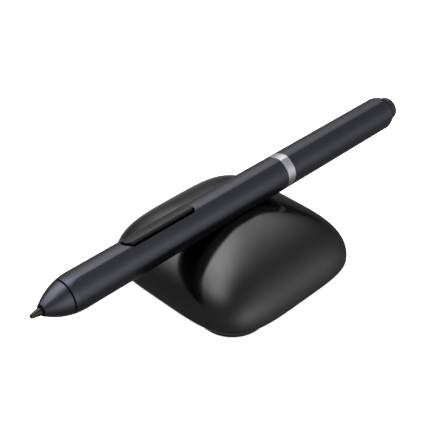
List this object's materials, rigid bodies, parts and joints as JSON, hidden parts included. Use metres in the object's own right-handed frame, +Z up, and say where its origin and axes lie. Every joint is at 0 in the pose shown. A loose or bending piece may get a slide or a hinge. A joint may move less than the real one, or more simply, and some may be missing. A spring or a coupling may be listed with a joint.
{
  "type": "digitising pen with desk stand",
  "caption": "Six-sided digitising pen with a rocker side switch, silver trim ring and eraser button, lying in the channel of a rounded-square domed desk stand with a twist-lock nib store.",
  "frame": {"origin": "centre of the stand's underside, on the desk", "axes": "+X along the pen, from the drawing nib towards the eraser; +Y across the stand, away from the facet with the open edge; +Z up from the desk"},
  "size_m": [0.159, 0.0628, 0.0332],
  "materials": {
    "barrel_finish": "satin dark slate coating on aluminium",
    "ring_metal": "satin silver",
    "sleeve_metal": "plain turned aluminium",
    "nib_plastic": "moulded dark grey acetal",
    "dark_trim": "black moulded plastic, soft gloss",
    "switch_plastic": "black moulded plastic, satin",
    "inner_plastic": "plain moulded dark plastic",
    "bobbin_plastic": "natural nylon",
    "board": "green glass-epoxy circuit board",
    "chip_black": "black chip packages",
    "switch_metal": "plated switch cans",
    "steel": "bright steel",
    "ferrite": "dark sintered ferrite",
    "copper_wire": "enamelled copper winding",
    "silicone": "grey silicone rubber",
    "sensor_case": "moulded sensor housing",
    "stand_black": "satin black moulded shell",
    "base_black": "black moulded base",
    "ballast_iron": "bare iron weight",
    "foot_rubber": "black non-slip rubber"
  },
  "bodies": {
    "stand": {"stand_shell": "stand_black", "base_plate": "base_black", "ballast": "ballast_iron", "base_screws": "steel", "foot_pad": "foot_rubber", "nib_tray": "inner_plastic", "spare_nibs": "nib_plastic", "nib_puller": "steel"},
    "door": {"store_door": "base_black"},
    "pen": {"nose_ring": "dark_trim", "nose_cone": "barrel_finish", "front_barrel": "barrel_finish", "trim_ring": "ring_metal", "tail_barrel": "barrel_finish", "joint_sleeve": "sleeve_metal", "switch_pin": "steel", "chassis": "inner_plastic", "circuit_board": "board", "board_chips": "chip_black", "tact_switches": "switch_metal", "ferrite_core": "ferrite", "coil_bobbin": "bobbin_plastic", "antenna_coil": "copper_wire", "nib_cushion": "silicone", "nib_sensor": "sensor_case", "eraser_ferrite": "ferrite", "eraser_bobbin": "bobbin_plastic", "eraser_coil": "copper_wire", "eraser_cushion": "silicone", "eraser_sensor": "sensor_case", "tail_chassis": "inner_plastic"},
    "nib_plunger": {"nib": "nib_plastic", "nib_holder": "inner_plastic"},
    "eraser_plunger": {"eraser_button": "dark_trim", "eraser_stem": "inner_plastic"},
    "rocker": {"side_switch": "switch_plastic"}
  },
  "joints": [
    {"name": "pen_lift", "type": "slide", "parent": "stand", "child": "pen", "axis": [0, 0, 1], "range_m": [0, 0.06]},
    {"name": "nib_press", "type": "slide", "parent": "pen", "child": "nib_plunger", "axis": [1, 0, 0], "range_m": [0, 0.0005], "stiffness_N_per_m": 10, "springref_m": -0.0005, "deforming": ["nib_cushion"]},
    {"name": "eraser_press", "type": "slide", "parent": "pen", "child": "eraser_plunger", "axis": [-1, 0, 0], "range_m": [0, 0.0008], "stiffness_N_per_m": 20, "springref_m": -0.0005, "deforming": ["eraser_cushion"]},
    {"name": "switch_tilt", "type": "hinge", "parent": "pen", "child": "rocker", "pos_m": [-0.0305, -0.00008, 0.02927], "axis": [0, 0.9537, -0.3007], "range_deg": [-2.5, 2.5], "stiffness_Nm_per_rad": 0.0005},
    {"name": "door_twist", "type": "hinge", "parent": "stand", "child": "door", "pos_m": [0, 0, 0.0006], "axis": [0, 0, 1], "range_deg": [0, 40]}
  ]
}
